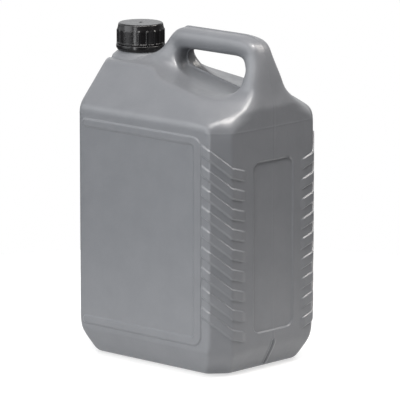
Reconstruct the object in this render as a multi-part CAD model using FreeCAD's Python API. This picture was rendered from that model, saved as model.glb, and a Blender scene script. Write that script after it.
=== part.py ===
import FreeCAD, Part
import math
import os

# Blow-moulded oil can with a moulded-in handle, a ribbed screw cap and a tamper band.
# Millimetres. Origin on the floor under the middle of the can, +Z up, +X towards the
# tall leg of the handle, the neck at -X, the wide label face at -Y.

V = FreeCAD.Vector

# Driving dimensions: the can
HALF_WIDTH = 92.0          # end wall at its middle
HALF_DEPTH = 66.0          # flat label faces
WALL = 1.3                 # mean wall of the moulding
FACET_X = 77.4             # where a label face ends and the corner facet starts
END_X = 90.3               # where the corner facet meets the end wall
END_Y = 51.1
FRONT_EDGE_R = 5.0         # upright edge between label face and facet
FACET_EDGE_R = 7.0         # upright edge between facet and end wall
HEEL_Z = 21.5              # height of the slanted heel
HEEL_IN_FRONT = 9.5        # how far the heel runs in under a label face
HEEL_IN_END = 12.0         # and under an end wall
HEEL_R = 8.0
SHOULDER_Z = 220.3         # top of the upright walls
SHOULDER_SLOPE = 1.08      # rise over run of the sloping shoulders
DECK_Z = 256.0             # flat deck round the neck
SCOOP_Z = 241.0            # deck under the handle
SCOOP_START_X = -8.0
SCOOP_END_X = 36.0
END_BREAK_Z = 230.4        # above this the end wall leans in
LEAN_X = 85.6              # end wall where the top bend of the handle starts
LEAN_Z = 262.0
CORNER_Z = 273.9           # the +X corners are cut by z = CORNER_Z - CORNER_X x - CORNER_Y |y|
CORNER_X = 0.27
CORNER_Y = 0.50

# Driving dimensions: raised and sunken detail on the can
RELIEF = 0.9               # height of bands and ribs, depth of the end panel
FRAME_TOP = (202.2, 208.8)
FRAME_BOTTOM = (26.9, 33.8)
FRAME_RIGHT = (59.4, 68.1)
FRAME_LEFT = -73.5
FRAME_R = 9.5
RIB_COUNT = 9
RIB_PITCH = 17.6
RIB_TOP_Z = 199.2          # top edge of the first rib at the front edge of the facet
RIB_HEIGHT = 8.8
RIB_START_X = 68.6
RIB_START_RISE = 4.0
RIB_CORNER_DROP = 15.5     # fall of a rib from the front edge to the end wall
RIB_END_DROP = 20.0
RIB_END_Y = 35.0
PANEL_Z = (34.9, 184.4)
PANEL_Y = 25.0
PANEL_R = 7.0

# Driving dimensions: the handle
HANDLE_HALF = 12.6         # half thickness of the grip
HANDLE_TOP = 288.9
HANDLE_EDGE_R = 7.5
RAMP_FOOT_X = -44.0
RAMP_TOP_X = -15.5
HOLE_TOP = 270.6
HOLE_LEFT = -10.9
HOLE_RIGHT = 66.9
HOLE_BOTTOM_LEFT = 256.4
HOLE_BOTTOM_RIGHT = 239.4

# Driving dimensions: neck, thread and closure, all on one upright axis
NECK_X = -66.7
BORE_R = 16.0
NECK_R = 17.7
RIM_Z = 283.5
CONE_FOOT_R = 25.2
CONE_FOOT_Z = 256.6
CONE_TOP_R = 18.9
CONE_TOP_Z = 262.0
BEAD_R = 19.0
BEAD_Z = (264.4, 266.4)
THREAD_PITCH = 5.0
THREAD_DEPTH = 1.1
THREAD_TURNS = 1.75
THREAD_START_Z = 272.6
CAP_TOP_Z = 286.4
CAP_PLATE = 1.6
CAP_TOP_R = 19.5
CAP_SKIRT_R = 20.7
CAP_BORE_R = 19.15
CAP_FOOT_Z = 268.3
CAP_FOOT_R = 21.3
CAP_FOOT_HEIGHT = 1.1
CAP_TAPER_Z = 281.0
CAP_RIBS = 18
CAP_RIB_R = 21.3
CAP_RIB_WIDTH = 1.9
WAD_THICK = 1.2
FOIL_THICK = 0.1
WAD_R = 18.9
BAND_TOP_Z = 267.7
BAND_FOOT_Z = 262.4
BAND_R = 21.6
BAND_BORE_R = 20.1
BAND_FLAP_R = 18.4
BAND_FLAP_Z = (262.6, 263.9)
BRIDGES = 12
BRIDGE_GAP = 0.3


def rounded_wire(points, radii, place):
    """Closed wire through flat points, each corner rounded with its own radius."""
    count = len(points)
    starts = []
    ends = []
    middles = []
    for i in range(count):
        corner = points[i]
        before = (points[i - 1] - corner)
        after = (points[(i + 1) % count] - corner)
        before.normalize()
        after.normalize()
        half = before.getAngle(after) / 2.0
        reach = radii[i] / math.tan(half)
        bisector = before + after
        if radii[i] == 0 or bisector.Length < 1e-6:
            starts.append(corner)
            ends.append(corner)
            middles.append(None)
            continue
        bisector.normalize()
        centre = corner + bisector * (radii[i] / math.sin(half))
        starts.append(corner + before * reach)
        ends.append(corner + after * reach)
        middles.append(centre - bisector * radii[i])
    edges = []
    for i in range(count):
        if middles[i] is not None:
            edges.append(Part.Arc(place(starts[i]), place(middles[i]), place(ends[i])).toShape())
        nearby = starts[(i + 1) % count]
        if (nearby - ends[i]).Length > 1e-6:
            edges.append(Part.makeLine(place(ends[i]), place(nearby)))
    return Part.Wire(edges)


def profile(rows, place):
    """Face from rows of (first, second, radius) in a flat plane."""
    points = [V(row[0], row[1], 0) for row in rows]
    radii = [row[2] for row in rows]
    return Part.Face(rounded_wire(points, radii, place))


def on_plan(height):
    return lambda p: V(p.x, p.y, height)


def on_side(depth):
    return lambda p: V(p.x, depth, p.y)


def on_end(reach):
    return lambda p: V(reach, p.x, p.y)


def plan_face(inset, height):
    """Outline of the can seen from above, drawn in by inset."""
    middle_x = HALF_WIDTH - inset
    depth = HALF_DEPTH - inset
    facet_x = FACET_X - 0.45 * inset
    end_x = END_X - inset
    end_y = END_Y - 0.40 * inset
    rows = []
    for side_x, side_y in ((1, -1), (1, 1), (-1, 1), (-1, -1)):
        facet = (side_x * facet_x, side_y * depth, max(FRONT_EDGE_R - inset, 1.0))
        end = (side_x * end_x, side_y * end_y, max(FACET_EDGE_R - inset, 1.0))
        middle = (side_x * middle_x, 0.0, 120.0)
        if side_x * side_y < 0:
            rows += [facet, end, middle]
        else:
            rows += [end, facet]
    return profile(rows, on_plan(height))


def heel_profiles(inset):
    """Two tall prisms whose slanted feet make the heel all round."""
    top = DECK_Z + 40.0
    depth = HALF_DEPTH - inset
    width = HALF_WIDTH + 3.0
    radius = max(HEEL_R - inset, 2.0)
    end_rows = [(-depth + HEEL_IN_FRONT, inset, radius), (depth - HEEL_IN_FRONT, inset, radius),
                (depth, HEEL_Z, 12.0), (depth, top, 0), (-depth, top, 0), (-depth, HEEL_Z, 12.0)]
    foot = HALF_WIDTH - inset - HEEL_IN_END
    wall = HALF_WIDTH - inset
    heel_z = HEEL_Z + 3.0
    side_rows = [(-foot, inset, radius), (foot, inset, radius),
                 (wall, heel_z, 12.0), (wall, top, 0), (-wall, top, 0), (-wall, heel_z, 12.0)]
    front = profile(end_rows, on_end(-width)).extrude(V(2 * width, 0, 0))
    side = profile(side_rows, on_side(-width)).extrude(V(0, 2 * width, 0))
    return front.common(side)


def heel(inset):
    """Foot of the can: the plan outline run inwards and down along all four corners."""
    base = plan_face(inset, HEEL_Z)
    foot = None
    for side_x in (-1, 1):
        for side_y in (-1, 1):
            slant = V(side_x * HEEL_IN_END, side_y * HEEL_IN_FRONT, inset - HEEL_Z)
            prism = base.extrude(slant)
            foot = prism if foot is None else foot.common(prism)
    return foot


def corner_cuts(inset):
    """Two wedges above the sloping planes of the +X corners."""
    top = CORNER_Z - inset * math.sqrt(1.0 + CORNER_X ** 2 + CORNER_Y ** 2)
    wedges = []
    for side in (-1, 1):
        corners = []
        for x, y in ((0.0, 0.0), (120.0, 0.0), (120.0, 90.0), (0.0, 90.0)):
            corners.append(V(x, side * y, top - CORNER_X * x - CORNER_Y * y))
        outline = Part.makePolygon(corners + [corners[0]])
        wedges.append(Part.Face(outline).extrude(V(0, 0, 90.0)))
    return wedges


def shoulder(inset):
    """Sloping top: both shoulder slopes, the four corners, then cut to the deck."""
    drop = inset * math.sqrt(1.0 + SHOULDER_SLOPE ** 2) - inset * SHOULDER_SLOPE
    base = SHOULDER_Z - drop
    rise = 48.0
    run = rise / SHOULDER_SLOPE
    plan = plan_face(inset, base)
    roof = plan.extrude(V(0, run, rise)).common(plan.extrude(V(0, -run, rise)))
    half = Part.makeBox(200, 200, 100, V(0, -100, base - 20.0))
    depth = HALF_DEPTH - inset
    gable = profile([(-depth, base, 0), (depth, base, 0), (0, base + depth * SHOULDER_SLOPE, 0)],
                    on_end(0.0)).extrude(V(HALF_WIDTH, 0, 0))
    upright = plan.extrude(V(0, 0, rise)).common(gable).cut(corner_cuts(inset))
    roof = roof.cut(half).fuse(upright.common(half))
    low = base - 1.0
    deck = DECK_Z - inset
    scoop = SCOOP_Z - inset
    edge = HALF_WIDTH - inset
    lean = (HALF_WIDTH - LEAN_X) / (LEAN_Z - END_BREAK_Z) * (scoop - END_BREAK_Z)
    rows = [(-edge, low, 0), (edge, low, 0), (edge, END_BREAK_Z, 20.0),
            (edge - lean, scoop, 7.0 - inset), (SCOOP_END_X, scoop, 60.0),
            (SCOOP_START_X, deck, 30.0), (-edge, deck, 8.0 - inset)]
    cutter = profile(rows, on_side(-HALF_DEPTH)).extrude(V(0, 2 * HALF_DEPTH, 0))
    return roof.common(cutter)


def handle(inset):
    """Grip, ramp and tall leg, as one solid without its finger hole."""
    half = HANDLE_HALF - inset
    top = HANDLE_TOP - inset
    low = SHOULDER_Z - 20.0
    slope = (DECK_Z - HANDLE_TOP) / (RAMP_FOOT_X - RAMP_TOP_X)
    shift = inset * math.sqrt(1.0 + slope ** 2) / slope
    rows = [(RAMP_FOOT_X + shift, DECK_Z - inset, 25.0), (RAMP_TOP_X + shift, top, 16.0 - inset),
            (LEAN_X - 6.5 - inset, top, 24.0 - inset), (LEAN_X - inset, LEAN_Z, 60.0),
            (HALF_WIDTH - inset, END_BREAK_Z, 20.0), (HALF_WIDTH - inset, low, 0),
            (RAMP_FOOT_X - 12.0, low, 0), (RAMP_FOOT_X - 12.0, DECK_Z - inset, 0)]
    solid = profile(rows, on_side(-half)).extrude(V(0, 2 * half, 0))
    long_edges = []
    for edge in solid.Edges:
        box = edge.BoundBox
        flat = box.YLength < 1e-6
        if flat and box.ZMin > DECK_Z - inset - 1.0 and box.XMin > RAMP_FOOT_X - 20.0:
            long_edges.append(edge)
    return solid.makeFillet(HANDLE_EDGE_R - inset, long_edges)


def finger_hole(grow):
    """Prism through the handle where the fingers go."""
    rows = [(HOLE_LEFT - grow, HOLE_TOP + grow, 8.0 + grow),
            (HOLE_LEFT - grow, HOLE_BOTTOM_LEFT - grow, 5.0 + grow),
            (HOLE_RIGHT + grow, HOLE_BOTTOM_RIGHT - grow, 8.0 + grow),
            (HOLE_RIGHT + grow, HOLE_TOP + grow, 10.0 + grow)]
    return profile(rows, on_side(-HALF_DEPTH)).extrude(V(0, 2 * HALF_DEPTH, 0))


def can_block(inset):
    """The can as a full block at the given inset from its outer skin."""
    walls = plan_face(inset, HEEL_Z).extrude(V(0, 0, SHOULDER_Z - HEEL_Z))
    walls = walls.fuse(heel(inset)).common(heel_profiles(inset))
    block = walls.fuse(shoulder(inset))
    block = block.fuse(handle(inset).cut(finger_hole(inset)))
    return block.removeSplitter()


def frame_band(side):
    """Raised band round three sides of the label area, open towards the neck end."""
    top_low, top_high = FRAME_TOP
    low, high = FRAME_BOTTOM
    inner, outer = FRAME_RIGHT
    tip = (top_high - top_low) / 2.0 - 0.1
    rows = [(FRAME_LEFT, top_high, tip), (outer, top_high, FRAME_R), (outer, low, FRAME_R),
            (FRAME_LEFT, low, tip), (FRAME_LEFT, high, tip), (inner, high, 3.0),
            (inner, top_low, 3.0), (FRAME_LEFT, top_low, tip)]
    band = profile(rows, on_side(0.0)).extrude(V(0, HALF_DEPTH + RELIEF, 0))
    band = band.common(Part.makeBox(400, 8, 400, V(-200, HALF_DEPTH - 5.0, 0)))
    if side < 0:
        band = band.mirror(V(0, 0, 0), V(0, 1, 0))
    return band


def rib_slab(top):
    """One rib on the -Y side, as an over-deep slab still to be trimmed to the skin."""
    front_rows = [(RIB_START_X, top + RIB_START_RISE, 0), (FACET_X, top, 0),
                  (FACET_X, top - RIB_HEIGHT, 0),
                  (RIB_START_X, top + RIB_START_RISE - RIB_HEIGHT, 0)]
    front = profile(front_rows, on_side(-HALF_DEPTH - 5.0)).extrude(V(0, 8.0, 0))
    corner = top - RIB_CORNER_DROP
    tail = top - RIB_END_DROP
    end_rows = [(-HALF_DEPTH - 5.0, top, 0), (-HALF_DEPTH, top, 0), (-END_Y, corner, 0),
                (-RIB_END_Y, tail, 0), (-RIB_END_Y, tail - RIB_HEIGHT, 0),
                (-END_Y, corner - RIB_HEIGHT, 0), (-HALF_DEPTH, top - RIB_HEIGHT, 0),
                (-HALF_DEPTH - 5.0, top - RIB_HEIGHT, 0)]
    end = profile(end_rows, on_end(FACET_X)).extrude(V(HALF_WIDTH, 0, 0))
    return front.fuse(end)


def ribs():
    """All ribs of both +X corners, each standing RELIEF proud of the wall."""
    swollen = plan_face(-RELIEF, 0.0).extrude(V(0, 0, SHOULDER_Z))
    core = plan_face(2.0, -1.0).extrude(V(0, 0, SHOULDER_Z + 2.0))
    pieces = []
    for k in range(RIB_COUNT):
        slab = rib_slab(RIB_TOP_Z - k * RIB_PITCH)
        rib = slab.common(swollen).cut(core)
        pieces.append(rib)
        pieces.append(rib.mirror(V(0, 0, 0), V(0, 1, 0)))
    return pieces


def end_panel(inset):
    """What is taken off the +X wall, or off the hollow behind it, for the sunken panel."""
    low = PANEL_Z[0] - inset
    high = PANEL_Z[1] + inset
    side = PANEL_Y + inset
    radius = PANEL_R + inset
    rows = [(-side, low, radius), (side, low, radius), (side, high, radius), (-side, high, radius)]
    prism = profile(rows, on_end(HALF_WIDTH - 10.0)).extrude(V(20.0, 0, 0))
    return prism.cut(plan_face(RELIEF + inset, 0.0).extrude(V(0, 0, SHOULDER_Z)))


def turned(rows):
    """Solid of revolution about the neck axis from (radius, height, corner radius) rows."""
    face = profile(rows, lambda p: V(NECK_X + p.x, 0, p.y))
    return face.revolve(V(NECK_X, 0, 0), V(0, 0, 1), 360)


def thread(radius, depth, start, inward):
    """Helical ridge on a cylinder of this radius; inward for a nut thread."""
    sign = -1.0 if inward else 1.0
    root = 0.3
    path = Part.makeHelix(THREAD_PITCH, THREAD_PITCH * THREAD_TURNS, radius)
    corners = [V(radius - sign * root, 0, -1.15), V(radius + sign * depth, 0, -0.5),
               V(radius + sign * depth, 0, 0.5), V(radius - sign * root, 0, 1.15)]
    section = Part.makePolygon(corners + [corners[0]])
    ridge = Part.Wire(path).makePipeShell([section], True, True)
    ridge.translate(V(NECK_X, 0, start))
    return ridge


def neck():
    """Cone, collar, retaining bead, upright neck and its thread."""
    bead_low, bead_high = BEAD_Z
    rows = [(0, DECK_Z - 8.0, 0), (CONE_FOOT_R, DECK_Z - 8.0, 0), (CONE_FOOT_R, CONE_FOOT_Z, 0),
            (CONE_TOP_R, CONE_TOP_Z, 0), (NECK_R, CONE_TOP_Z, 0), (NECK_R, bead_low, 0),
            (BEAD_R, bead_low, 0.3), (NECK_R, bead_high, 0), (NECK_R, RIM_Z, 0.5), (0, RIM_Z, 0)]
    return turned(rows).fuse(thread(NECK_R, THREAD_DEPTH, THREAD_START_Z, False))


def can_body():
    """The whole moulding: skin, relief, neck, less its inside."""
    block = can_block(0.0)
    block = block.fuse([frame_band(-1), frame_band(1)] + ribs())
    block = block.cut(end_panel(0.0))
    block = block.fuse(neck())
    hollow = can_block(WALL).cut(end_panel(WALL))
    bore_rows = [(0, DECK_Z - 10.0, 0), (BORE_R, DECK_Z - 10.0, 0), (BORE_R, RIM_Z + 1.0, 0),
                 (0, RIM_Z + 1.0, 0)]
    return block.cut(hollow).cut(turned(bore_rows))


def screw_cap():
    """Cap with a tapered crown, ribbed skirt, foot flange and its own thread."""
    ceiling = CAP_TOP_Z - CAP_PLATE
    foot_top = CAP_FOOT_Z + CAP_FOOT_HEIGHT
    rows = [(0, CAP_TOP_Z, 0), (CAP_TOP_R, CAP_TOP_Z, 0.6), (CAP_SKIRT_R - 0.1, CAP_TAPER_Z, 3.0),
            (CAP_SKIRT_R, foot_top, 0), (CAP_FOOT_R, foot_top, 0.3), (CAP_FOOT_R, CAP_FOOT_Z, 0.3),
            (CAP_BORE_R, CAP_FOOT_Z, 0), (CAP_BORE_R, ceiling, 0), (0, ceiling, 0)]
    cap = turned(rows)
    grips = []
    for k in range(CAP_RIBS):
        grip = Part.makeBox(CAP_RIB_R - 20.0, CAP_RIB_WIDTH, CAP_TAPER_Z - foot_top + 0.4,
                            V(20.0, -CAP_RIB_WIDTH / 2.0, foot_top - 0.5))
        grip.rotate(V(0, 0, 0), V(0, 0, 1), (k + 0.5) * 360.0 / CAP_RIBS)
        grip.translate(V(NECK_X, 0, 0))
        grips.append(grip)
    start = THREAD_START_Z - THREAD_PITCH / 2.0
    return cap.fuse(grips + [thread(CAP_BORE_R, THREAD_DEPTH, start, True)])


def tamper_band():
    """Loose ring under the cap: bevelled foot, inner catch under the bead, broken bridges."""
    flap_low, flap_high = BAND_FLAP_Z
    rows = [(BAND_BORE_R, BAND_TOP_Z, 0), (BAND_R, BAND_TOP_Z, 0.3),
            (BAND_R, BAND_FOOT_Z + 2.2, 0.4), (BAND_R - 1.8, BAND_FOOT_Z, 0.3),
            (BAND_FLAP_R, flap_low, 0), (BAND_FLAP_R, flap_high, 0),
            (BAND_BORE_R, flap_high + 0.4, 0)]
    band = turned(rows)
    height = CAP_FOOT_Z - BAND_TOP_Z - BRIDGE_GAP
    stubs = []
    for k in range(BRIDGES):
        stub = Part.makeBox(0.9, 0.8, height + 0.2, V(BAND_BORE_R + 0.1, -0.4, BAND_TOP_Z - 0.2))
        stub.rotate(V(0, 0, 0), V(0, 0, 1), k * 360.0 / BRIDGES)
        stub.translate(V(NECK_X, 0, 0))
        stubs.append(stub)
    return band.fuse(stubs)


def disc(radius, low, thickness):
    return Part.makeCylinder(radius, thickness, V(NECK_X, 0, low))


def main():
    os.makedirs("parts", exist_ok=True)
    nodes = {
        "can_body": can_body(),
        "screw_cap": screw_cap(),
        "tamper_band": tamper_band(),
        "liner_foil": disc(WAD_R, RIM_Z, FOIL_THICK),
        "cap_liner": disc(WAD_R, RIM_Z + FOIL_THICK, WAD_THICK),
    }
    for name, shape in nodes.items():
        box = shape.BoundBox
        print(name, shape.isValid(), len(shape.Solids), round(shape.Volume / 1000.0, 2), "cm3", box)
        shape.exportStep("parts/" + name + ".step")


main()
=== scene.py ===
import math

import bpy
import numpy as np
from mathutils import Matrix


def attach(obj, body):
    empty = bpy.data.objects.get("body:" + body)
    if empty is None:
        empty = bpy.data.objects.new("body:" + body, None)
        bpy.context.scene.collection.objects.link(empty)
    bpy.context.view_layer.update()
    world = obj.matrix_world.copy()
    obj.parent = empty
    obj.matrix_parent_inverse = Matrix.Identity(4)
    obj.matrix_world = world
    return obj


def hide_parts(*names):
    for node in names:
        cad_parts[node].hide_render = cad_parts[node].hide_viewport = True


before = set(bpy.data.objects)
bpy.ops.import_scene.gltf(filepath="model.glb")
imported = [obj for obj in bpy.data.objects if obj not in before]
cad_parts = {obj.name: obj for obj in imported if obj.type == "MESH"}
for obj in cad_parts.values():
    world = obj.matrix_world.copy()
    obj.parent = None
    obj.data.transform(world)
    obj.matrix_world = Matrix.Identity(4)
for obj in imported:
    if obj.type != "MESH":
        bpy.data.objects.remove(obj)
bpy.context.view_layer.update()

import openvdb
from mathutils import Vector

MM = 0.001
VOXEL = 0.72      # size of the cells that the can is meshed from, in mm

# ---------------------------------------------------------------- the can, in millimetres
HALF_WIDTH, HALF_DEPTH = 92.0, 66.0
END_BOW = 1537.6                    # twice the radius of the bowed end wall
FACET_NX, FACET_NY, FACET_OFF = 0.7560, 0.6545, 101.71
SHOULDER_Z, SLOPE = 219.9, 1.08
LEAN_Z = 230.4                      # above this the +X end wall leans in
HEEL_Z, HEEL_FRONT, HEEL_END = 21.5, 9.5, 12.0
RELIEF = 0.9                        # height of the label frame
WALL = 2.6                          # thick enough to mesh behind the sunken panel
HANDLE_TOP, HANDLE_HALF = 288.9, 12.8
NECK_X, RIM_Z, NECK_R, BORE_R = -66.7, 283.5, 17.7, 16.0
THREAD_Z, THREAD_PITCH, THREAD_TURNS = 272.6, 5.0, 1.75
RIB_COUNT, RIB_PITCH, RIB_TOP, RIB_HALF = 9, 17.6, 199.2, 4.4
RIB_RELIEF, PANEL_RELIEF = 1.25, 1.55       # times RELIEF
CAP_RIBS, CAP_SKIRT_R = 18, 20.7


def smax(a, b, k):
    """Smooth maximum with a continuous second derivative."""
    h = np.maximum(k - np.abs(a - b), 0.0) / k
    return np.maximum(a, b) + h * h * h * (k / 6.0)


def smin(a, b, k):
    return -smax(-a, -b, k)


def ramp(low, high, v):
    """0 below low, 1 above high, smooth between."""
    t = np.clip((v - low) / (high - low), 0.0, 1.0)
    return t * t * (3.0 - 2.0 * t)


def rounded_box(u, v, half_u, half_v, r):
    """Flat distance to a rectangle with rounded corners."""
    qu = np.abs(u) - (half_u - r)
    qv = np.abs(v) - (half_v - r)
    outside = np.hypot(np.maximum(qu, 0.0), np.maximum(qv, 0.0))
    return outside + np.minimum(np.maximum(qu, qv), 0.0) - r


def walls(ax, ay, z):
    """Upright walls and corner facets with the slanted heel under them."""
    down = (HEEL_Z - z) / HEEL_Z
    front = ay - HALF_DEPTH
    front = smax(front, 0.9147 * front + 0.4042 * (HEEL_Z - z), 1.3)
    facet = FACET_NX * ax + FACET_NY * ay - FACET_OFF
    heel = (facet + (FACET_NX * HEEL_END + FACET_NY * HEEL_FRONT) * down) / 1.227
    return smax(front, smax(facet, heel, 9.0), 2.7)


def end_wall(x, ax, ay, z):
    """Bowed end walls; the one at +X leans in towards the handle."""
    end = ax - HALF_WIDTH + ay * ay / END_BOW
    lean = 0.9801 * end + 0.1985 * (z - LEAN_Z)
    end = smax(end, np.where(x > 0.0, lean, end - 50.0), 0.6)
    heel = (end + HEEL_END * (HEEL_Z + 2.6 - 0.0012 * ay * ay - z) / HEEL_Z) / 1.145
    return smax(end, heel, 4.0)


def deck(x, y, ay):
    """Height of the deck, dished under the handle with a ridge along the mould joint."""
    along = x + 20.0 * ramp(4.0, 34.0, y)
    fall = smax(255.6 - 0.75 * (along + 19.5), 247.0 - 0.164 * along, 9.0)
    edge = smin(smax(fall, 236.9, 4.0), 256.0, 10.0)
    ridge = smin(254.3 - 0.226 * (x + 2.5), 257.5, 4.0)
    rise = smax(ridge - edge, 0.0, 1.5)
    return edge + rise * np.exp(-ay / 7.5)


def roof(x, y, ay, z):
    """Sloping shoulders, the shallower +X corner and the deck."""
    up = (z - SHOULDER_Z) / SLOPE
    slope = (ay - HALF_DEPTH + up) / 1.3627
    far = (-FACET_NX * x + FACET_NY * (ay + up) - FACET_OFF) / 1.1694
    corner = (z + 0.5 * ay + 0.27 * x + 2.2 * ramp(66.0, 90.0, x) - 274.2) / 1.150
    sides = smax(smax(slope, far, 2.7), corner, 7.0)
    return smax(sides, (z - deck(x, y, ay)) * 0.96, 4.0)


def grip(x, ay, z, end):
    """The handle: its side outline less the finger hole, rounded all round."""
    top = z - HANDLE_TOP
    slant = -0.7559 * (x + 44.0) + 0.6548 * (z - 256.0)
    side = smax(smax(top, slant, 9.0), end, 40.0)
    hole = smax(smax(z - 270.6, -(x + 10.9), 14.0), x - 66.9 - 2.6 * ramp(270.0, 258.0, z), 18.0)
    side = smax(side, -hole, 13.0)
    half = HANDLE_HALF + 5.5 * ramp(276.0, 250.0, z) * ramp(45.0, 72.0, x)
    return smax(side, ay - half, 14.0)


def block(x, y, z):
    """The moulding as a solid without relief or neck."""
    ax = np.abs(x)
    ay = np.sqrt(y * y + 0.05)
    end = end_wall(x, ax, ay, z)
    edge = 4.8 + 11.0 * ramp(70.0, 86.0, x)
    body = smax(walls(ax, ay, z), roof(x, y, ay, z), edge)
    reach = 12.0 + 20.0 * ramp(5.0, 16.0, ay)
    body = smin(grip(x, ay, z, end - 4.0), body, reach)
    body = smax(body, end, 2.2 + 9.8 * ramp(212.0, 226.0, z))
    return smax(body, -z, 7.0), ax, ay


def bars(x, z):
    """Flat distance to the square bracket that frames the label."""
    outer = rounded_box(x + 131.9, z - 117.85, 200.0, 90.95, 9.5)
    inner = rounded_box(x + 140.6, z - 118.0, 200.0, 84.2, 3.0)
    frame_2d = np.maximum(outer, -inner)
    off = np.minimum(np.abs(z - 205.5), np.abs(z - 30.35))
    cap = np.hypot(np.minimum(x + 70.2, 0.0), off) - 3.35
    return np.where(x < -70.2, cap, frame_2d)


def ribs(x, ay, z):
    """Flat distance to the slanting grip ribs round both +X corners."""
    fall = -4.0 * np.clip((77.4 - x) / 8.8, 0.0, 1.5) * ramp(64.6, 65.4, ay)
    fall = fall + 15.5 * np.clip((66.0 - ay) / 14.9, 0.0, 1.0)
    fall = fall + 4.5 * np.clip((51.1 - ay) / 16.1, 0.0, 1.6)
    u = z - RIB_TOP + RIB_HALF + fall
    k = np.clip(np.round(-u / RIB_PITCH), 0.0, RIB_COUNT - 1.0)
    slant = np.where((ay > 51.1) & (x > 76.0), 0.79, 0.94)
    across = (np.abs(u + k * RIB_PITCH) - RIB_HALF) * slant
    return smax(across, 68.6 - x, 2.0)


def relief(x, y, ay, z):
    """How far the skin stands proud of the plain block."""
    front = ramp(0.7, -0.7, bars(x, z)) * ramp(62.0, 64.5, ay)
    rib = ramp(0.75, -0.75, ribs(x, ay, z)) * ramp(60.0, 66.0, x) * ramp(33.5, 41.0, ay)
    panel = ramp(0.90, -0.90, rounded_box(ay, z - 109.65, 25.0, 74.75, 7.0)) * ramp(80.0, 86.0, x)
    inside = ramp(-14.0, -10.0, x) * ramp(72.0, 66.0, x) * ramp(238.0, 242.0, z)
    joint = (0.16 + 0.9 * inside) * np.exp(-(ay / 0.7) ** 2) * ramp(6.0, 20.0, z)
    seam = 0.12 * np.exp(-((z - 213.2) / 0.6) ** 2) * ramp(70.0, 77.0, np.abs(x))
    tail = ramp(28.0, 24.0, z) * ramp(2.0, 5.0, z)
    notch = 1.6 * np.exp(-(ay / 0.8) ** 2) * tail - 0.5 * np.exp(-((ay - 2.2) / 1.0) ** 2) * tail
    foot = 0.7 * np.exp(-((np.hypot(x - NECK_X, y) - 26.2) / 0.7) ** 2) * ramp(248.0, 252.0, z)
    raised = np.maximum(front, RIB_RELIEF * rib) - PANEL_RELIEF * panel
    return RELIEF * raised + joint + seam - notch - foot


def neck(x, y, z):
    """Cone, collar, bead, upright neck and its helical thread."""
    dx = x - NECK_X
    r = np.hypot(dx, y)
    cone = 0.6507 * (r - 25.2) + 0.7593 * (z - 257.4)
    cone = smax(smax(cone, r - 25.2, 1.5), z - 263.0, 0.6)
    angle = np.arctan2(y, dx)
    turn = (z - THREAD_Z) / THREAD_PITCH - angle / (2.0 * math.pi)
    off = np.abs(turn - np.round(turn)) * THREAD_PITCH
    place = np.round(turn) + angle / (2.0 * math.pi)
    on = ramp(-0.1, 0.05, place) * ramp(THREAD_TURNS + 0.1, THREAD_TURNS - 0.05, place)
    tube = r - NECK_R - 1.1 * ramp(1.25, 0.45, off) * on
    tube = smax(tube, z - RIM_Z, 0.8)
    bead = smax(r - 19.0, np.abs(z - 265.4) - 1.0, 0.7)
    neck_all = np.minimum(np.minimum(smin(cone, tube, 0.8), bead), 60.0)
    return np.maximum(neck_all, 240.0 - z), r


def can_field(x, y, z):
    """Signed distance to the whole hollow can."""
    solid, ax, ay = block(x, y, z)
    outside, r = neck(x, y, z)
    cleared = smax(solid, np.minimum(23.2 - r, z - 259.5), 2.0)
    skin = smin(cleared - relief(x, y, ay, z), outside, 1.0)
    bore = np.minimum(BORE_R - r, z - 249.0)
    return np.maximum(skin, np.maximum(-(solid + WALL), bore))


def sample(points):
    return can_field(points[:, 0], points[:, 1], points[:, 2])


def gradient(points, step=0.12):
    g = np.empty_like(points)
    for i in range(3):
        d = np.zeros(3)
        d[i] = step
        g[:, i] = sample(points + d) - sample(points - d)
    return g / (2.0 * step)


def mesh_object(name, verts, faces, normals=None):
    mesh = bpy.data.meshes.new(name)
    mesh.from_pydata(verts.tolist() if hasattr(verts, "tolist") else verts, [], faces)
    mesh.validate()
    mesh.shade_smooth()
    if normals is not None:
        mesh.normals_split_custom_set_from_vertices(normals)
    obj = bpy.data.objects.new(name, mesh)
    bpy.context.scene.collection.objects.link(obj)
    return obj


def build_can():
    voxel = VOXEL
    low = np.array([-97.0, -72.0, -4.0])
    count = np.ceil((np.array([97.0, 72.0, 293.0]) - low) / voxel).astype(int)
    low[1] = -(count[1] // 2 - 0.5) * voxel
    axes = [low[i] + voxel * np.arange(count[i]) for i in range(3)]
    field = np.empty(tuple(count), np.float32)
    yy, zz = np.meshgrid(axes[1], axes[2], indexing="ij")
    for i in range(count[0]):
        xx = np.full_like(yy, axes[0][i])
        field[i] = can_field(xx, yy, zz) / voxel
    grid = openvdb.FloatGrid(3.0)
    grid.copyFromArray(np.clip(field, -3.0, 3.0))
    points, tris, quads = grid.convertToPolygons(isovalue=0.0, adaptivity=0.0)
    points = low + np.asarray(points, float) * voxel
    for _ in range(3):
        g = gradient(points)
        size = np.maximum((g * g).sum(1), 0.25)
        move = -(sample(points) / size)[:, None] * g
        length = np.linalg.norm(move, axis=1, keepdims=True)
        points = points + move * np.minimum(1.0, 0.5 * voxel / np.maximum(length, 1e-9))
    normals = gradient(points, 0.25)
    normals /= np.maximum(np.linalg.norm(normals, axis=1, keepdims=True), 1e-9)
    faces = np.asarray(quads).tolist() + np.asarray(tris).tolist()
    print("can mesh", len(points), len(faces))
    return mesh_object("can_shell", points * MM, faces, normals)


# ---------------------------------------------------------------- materials
def material(name):
    mat = bpy.data.materials.new(name)
    mat.use_nodes = True
    nt = mat.node_tree
    bsdf = next(n for n in nt.nodes if n.type == "BSDF_PRINCIPLED")
    return mat, nt, bsdf


def node(nt, kind, **values):
    n = nt.nodes.new("ShaderNode" + kind)
    for key, value in values.items():
        if key in n.inputs:
            n.inputs[key].default_value = value
        else:
            setattr(n, key, value)
    return n


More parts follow.
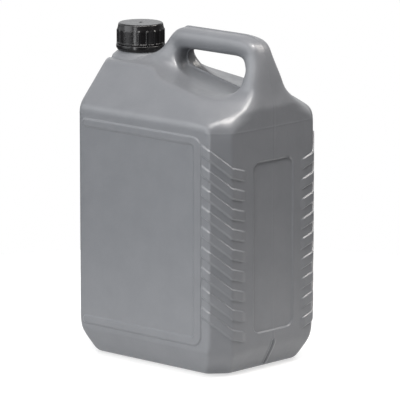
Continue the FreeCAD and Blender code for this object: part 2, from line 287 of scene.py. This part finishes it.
def noise(nt, coord, scale, detail=3.0, rough=0.5):
    n = node(nt, "TexNoise")
    n.inputs["Scale"].default_value = scale
    n.inputs["Detail"].default_value = detail
    n.inputs["Roughness"].default_value = rough
    nt.links.new(coord, n.inputs["Vector"])
    return n.outputs["Fac"]


def spread(nt, value, low, high, out_low, out_high):
    n = node(nt, "MapRange")
    n.inputs["From Min"].default_value = low
    n.inputs["From Max"].default_value = high
    n.inputs["To Min"].default_value = out_low
    n.inputs["To Max"].default_value = out_high
    nt.links.new(value, n.inputs["Value"])
    return n.outputs["Result"]


def mix_colour(nt, fac, a, b):
    n = node(nt, "Mix")
    n.data_type = "RGBA"
    n.inputs["A"].default_value = a
    n.inputs["B"].default_value = b
    for s in n.inputs:
        if s.name == "A" and s.type == "RGBA":
            s.default_value = a
        if s.name == "B" and s.type == "RGBA":
            s.default_value = b
    nt.links.new(fac, n.inputs["Factor"])
    return next(s for s in n.outputs if s.type == "RGBA")


def bump(nt, height, strength, distance, under=None):
    n = node(nt, "Bump")
    n.inputs["Strength"].default_value = strength
    n.inputs["Distance"].default_value = distance
    nt.links.new(height, n.inputs["Height"])
    if under is not None:
        nt.links.new(under, n.inputs["Normal"])
    return n.outputs["Normal"]


def object_coord(nt):
    return node(nt, "TexCoord").outputs["Object"]


def can_plastic():
    mat, nt, bsdf = material("can_plastic_grey")
    p = object_coord(nt)
    cloud = noise(nt, p, 45.0, 4.0, 0.6)
    colour = mix_colour(nt, spread(nt, cloud, 0.3, 0.7, 0.0, 1.0),
                        (0.118, 0.123, 0.133, 1.0), (0.131, 0.136, 0.146, 1.0))
    nt.links.new(colour, bsdf.inputs["Base Color"])
    grain = noise(nt, p, 1400.0, 2.0, 0.5)
    rough = noise(nt, p, 160.0, 3.0, 0.6)
    nt.links.new(spread(nt, rough, 0.3, 0.7, 0.30, 0.38), bsdf.inputs["Roughness"])
    wave = noise(nt, p, 260.0, 3.0, 0.55)
    n1 = bump(nt, wave, 0.22, 0.0004)
    nt.links.new(bump(nt, grain, 0.25, 0.00012, n1), bsdf.inputs["Normal"])
    bsdf.inputs["IOR"].default_value = 1.5
    return mat


def cap_plastic():
    mat, nt, bsdf = material("cap_plastic_black")
    p = object_coord(nt)
    cloud = noise(nt, p, 120.0, 3.0, 0.6)
    colour = mix_colour(nt, spread(nt, cloud, 0.3, 0.7, 0.0, 1.0),
                        (0.004, 0.0038, 0.0042, 1.0), (0.008, 0.0076, 0.0084, 1.0))
    nt.links.new(colour, bsdf.inputs["Base Color"])
    rough = noise(nt, p, 400.0, 3.0, 0.6)
    nt.links.new(spread(nt, rough, 0.3, 0.7, 0.20, 0.28), bsdf.inputs["Roughness"])
    nt.links.new(bump(nt, noise(nt, p, 900.0, 2.0), 0.15, 0.00006), bsdf.inputs["Normal"])
    bsdf.inputs["IOR"].default_value = 1.46
    return mat


def foam():
    mat, nt, bsdf = material("liner_foam_white")
    p = object_coord(nt)
    cells = node(nt, "TexVoronoi")
    cells.inputs["Scale"].default_value = 1800.0
    nt.links.new(p, cells.inputs["Vector"])
    colour = mix_colour(nt, noise(nt, p, 300.0), (0.74, 0.74, 0.72, 1.0), (0.84, 0.84, 0.82, 1.0))
    nt.links.new(colour, bsdf.inputs["Base Color"])
    nt.links.new(bump(nt, cells.outputs["Distance"], 0.4, 0.0001), bsdf.inputs["Normal"])
    bsdf.inputs["Roughness"].default_value = 0.8
    return mat


def foil():
    mat, nt, bsdf = material("liner_foil_metal")
    p = object_coord(nt)
    nt.links.new(spread(nt, noise(nt, p, 200.0), 0.3, 0.7, 0.22, 0.38), bsdf.inputs["Roughness"])
    colour = mix_colour(nt, noise(nt, p, 90.0), (0.62, 0.63, 0.65, 1.0), (0.74, 0.75, 0.77, 1.0))
    nt.links.new(colour, bsdf.inputs["Base Color"])
    nt.links.new(bump(nt, noise(nt, p, 350.0), 0.3, 0.0001), bsdf.inputs["Normal"])
    bsdf.inputs["Metallic"].default_value = 1.0
    return mat


# ---------------------------------------------------------------- cap and band
def lathe(name, rows, swell, steps, closed=True):
    """Turned mesh about the neck axis; swell(angle, radius, height) moves points outwards.

    The rows run outwards over the top, down and back inside. An open profile gets a lid at
    each end.
    """
    verts = []
    for i in range(steps):
        a = 2.0 * math.pi * i / steps
        for r, z in rows:
            rr = r + swell(a, r, z)
            verts.append(((NECK_X + rr * math.cos(a)) * MM, rr * math.sin(a) * MM, z * MM))
    n = len(rows)
    faces = []
    spans = n if closed else n - 1
    for i in range(steps):
        k = (i + 1) % steps
        for j in range(spans):
            m = (j + 1) % n
            faces.append((i * n + j, i * n + m, k * n + m, k * n + j))
    if not closed:
        faces.append(tuple(i * n for i in range(steps)))
        faces.append(tuple(i * n + n - 1 for i in reversed(range(steps))))
    return mesh_object(name, verts, faces)


def fine_rows(rows, pitch):
    """The profile with extra points so that no step is longer than pitch."""
    out = []
    for a, b in zip(rows, rows[1:]):
        steps = max(1, int(math.hypot(b[0] - a[0], b[1] - a[1]) / pitch))
        for k in range(steps):
            t = k / steps
            out.append((a[0] + (b[0] - a[0]) * t, a[1] + (b[1] - a[1]) * t))
    out.append(rows[-1])
    return out


def build_cap():
    outer = [(0.05, 285.9), (0.8, 285.9), (1.0, 286.3), (1.5, 286.5), (1.9, 286.3),
             (17.6, 286.4), (18.9, 286.25), (19.4, 285.9),
             (19.65, 285.3), (19.95, 283.6), (20.35, 281.9), (20.6, 280.9), (20.65, 280.2),
             (20.65, 269.7), (20.75, 269.4), (21.15, 269.25), (21.3, 269.0), (21.3, 268.6),
             (21.1, 268.35), (20.8, 268.3), (19.5, 268.3), (19.2, 268.6), (19.15, 269.2),
             (19.15, 284.5), (18.9, 284.8), (0.05, 284.8)]
    rows = fine_rows(outer, 0.45)

    def swell(a, r, z):
        grow = 0.0
        if r > 20.0 and 269.3 < z < 281.6:
            t = (a * CAP_RIBS / math.pi) % 2.0 - 1.0
            off = abs(t) * math.pi / CAP_RIBS * CAP_SKIRT_R
            side = min(max((1.25 - off) / 0.55, 0.0), 1.0)
            side = side * side * (3.0 - 2.0 * side)
            top = min(max((281.3 - z) / 1.1, 0.0), 1.0)
            grow += 0.62 * side * math.sqrt(max(top, 0.0))
        if 19.0 < r < 19.3 and 269.0 < z < 280.6:
            turn = (z - 270.1) / THREAD_PITCH - a / (2.0 * math.pi)
            off = abs(turn - round(turn)) * THREAD_PITCH
            place = round(turn) + a / (2.0 * math.pi)
            if 0.0 <= place <= THREAD_TURNS:
                t = min(max((1.25 - off) / 0.8, 0.0), 1.0)
                grow -= 1.0 * t * t * (3.0 - 2.0 * t)
        return grow

    return lathe("cap", rows, swell, 432, closed=False)


def build_band():
    outer = [(20.1, 267.5), (20.3, 267.68), (21.2, 267.7), (21.5, 267.55), (21.6, 267.2),
             (21.6, 265.0), (21.5, 264.6), (20.2, 262.7), (19.9, 262.45), (19.5, 262.4),
             (18.6, 262.6), (18.4, 262.9), (18.4, 263.6), (18.6, 263.9), (19.9, 264.3),
             (20.1, 264.6)]
    rows = fine_rows(outer, 0.5)
    return lathe("band", rows, lambda a, r, z: 0.0, 288)


# ---------------------------------------------------------------- stage
FLOOR_R, FLOOR_GLOW = 0.45, 0.60
FLOOR_Z = -0.0002                   # a hair under the can, so that the two never coincide
AZIMUTH, ELEVATION = math.radians(43.25), math.radians(11.3)
BACK = Vector((math.sin(AZIMUTH) * math.cos(ELEVATION), -math.cos(AZIMUTH) * math.cos(ELEVATION),
               math.sin(ELEVATION)))
RIGHT = Vector((math.cos(AZIMUTH), math.sin(AZIMUTH), 0.0))
AIM_HEIGHT, AIM_RIGHT = 0.13645, 0.00339
TARGET = Vector((0.0, 0.0, AIM_HEIGHT)) + RIGHT * AIM_RIGHT
CAMERA_LENS, CAMERA_DISTANCE = 405.0, 3.9294
LIGHT_AIM = Vector((0.0, 0.0, 0.14))


def add_camera():
    cam = bpy.data.cameras.new("camera")
    cam.lens = CAMERA_LENS
    cam.sensor_width = 36.0
    cam.clip_end = 60.0
    obj = bpy.data.objects.new("camera", cam)
    obj.location = TARGET + BACK * CAMERA_DISTANCE
    obj.rotation_euler = BACK.to_track_quat("Z", "Y").to_euler()
    bpy.context.scene.collection.objects.link(obj)
    bpy.context.scene.camera = obj


def add_light(name, azimuth, elevation, distance, width, height, power, colour):
    """Soft box at an azimuth, from -Y towards +X, and an elevation, both in degrees."""
    a, e = math.radians(azimuth), math.radians(elevation)
    way = Vector((math.sin(a) * math.cos(e), -math.cos(a) * math.cos(e), math.sin(e)))
    lamp = bpy.data.lights.new(name, "AREA")
    lamp.shape = "RECTANGLE"
    lamp.size = width
    lamp.size_y = height
    lamp.energy = power
    lamp.color = colour
    obj = bpy.data.objects.new(name, lamp)
    obj.location = LIGHT_AIM + way * distance
    obj.rotation_euler = way.to_track_quat("Z", "Y").to_euler()
    bpy.context.scene.collection.objects.link(obj)


def add_world():
    """White to the camera; the light it gives is bright low down and dim overhead and below."""
    world = bpy.data.worlds.new("studio")
    bpy.context.scene.world = world
    world.use_nodes = True
    nt = world.node_tree
    nt.nodes.clear()
    out = node(nt, "OutputWorld")
    seen = node(nt, "Background", Color=(1.0, 1.0, 1.0, 1.0), Strength=1.0)
    glow = node(nt, "Background", Color=(0.97, 0.985, 1.0, 1.0))
    height = node(nt, "SeparateXYZ")
    nt.links.new(node(nt, "TexCoord").outputs["Generated"], height.inputs[0])
    band = node(nt, "ValToRGB")
    stops = band.color_ramp
    stops.elements[0].position = 0.47
    stops.elements[0].color = (0.06, 0.06, 0.06, 1.0)
    stops.elements[1].position = 0.54
    stops.elements[1].color = (0.85, 0.85, 0.85, 1.0)
    for place, level in ((0.68, 0.7), (0.80, 0.22)):
        stops.elements.new(place).color = (level, level, level, 1.0)
    nt.links.new(spread(nt, height.outputs["Z"], -1.0, 1.0, 0.0, 1.0), band.inputs["Fac"])
    side = spread(nt, height.outputs["X"], -0.6, 0.6, 1.3, 0.10)
    level = node(nt, "Math", operation="MULTIPLY")
    nt.links.new(band.outputs["Color"], level.inputs[0])
    nt.links.new(side, level.inputs[1])
    nt.links.new(level.outputs[0], glow.inputs["Strength"])
    pick = node(nt, "MixShader")
    nt.links.new(node(nt, "LightPath").outputs["Is Camera Ray"], pick.inputs[0])
    nt.links.new(glow.outputs[0], pick.inputs[1])
    nt.links.new(seen.outputs[0], pick.inputs[2])
    nt.links.new(pick.outputs[0], out.inputs["Surface"])


def add_floor():
    """White round table top."""
    steps = 96
    verts = []
    for i in range(steps):
        a = 2.0 * math.pi * i / steps
        verts.append((FLOOR_R * math.cos(a), FLOOR_R * math.sin(a), FLOOR_Z))
    floor = mesh_object("floor", verts, [tuple(range(steps))])
    mat, nt, bsdf = material("floor_white")
    p = object_coord(nt)
    colour = mix_colour(nt, noise(nt, p, 3.0), (0.35, 0.35, 0.35, 1.0), (0.37, 0.37, 0.37, 1.0))
    nt.links.new(colour, bsdf.inputs["Base Color"])
    bsdf.inputs["Roughness"].default_value = 0.3
    bsdf.inputs["Emission Color"].default_value = (1.0, 1.0, 1.0, 1.0)
    bsdf.inputs["Emission Strength"].default_value = FLOOR_GLOW
    floor.data.materials.append(mat)


add_camera()
add_world()
add_light("key", -26.0, 18.0, 2.0, 1.5, 1.7, 22.5, (0.965, 0.985, 1.0))
add_light("strip", 14.0, 3.0, 2.0, 0.25, 2.2, 15.0, (0.98, 0.99, 1.0))
add_light("top", 24.0, 62.0, 1.3, 0.85, 0.85, 17.0, (1.0, 0.98, 0.96))
add_light("crest", 85.0, 68.0, 1.3, 0.45, 0.30, 12.5, (1.0, 0.965, 0.93))
add_light("rim", 134.0, 46.0, 1.3, 0.40, 0.60, 11.0, (1.0, 0.955, 0.91))
add_floor()
bpy.context.scene.view_settings.view_transform = "Standard"

PLASTIC = can_plastic()
BLACK = cap_plastic()

shell = build_can()
shell.data.materials.append(PLASTIC)
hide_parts("can_body")
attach(shell, "can")

cap = build_cap()
cap.data.materials.append(BLACK)
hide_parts("screw_cap")
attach(cap, "cap")

band = build_band()
band.data.materials.append(BLACK)
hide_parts("tamper_band")
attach(band, "band")

for name, mat in (("cap_liner", foam()), ("liner_foil", foil())):
    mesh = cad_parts[name].data
    mesh.materials.clear()
    mesh.materials.append(mat)
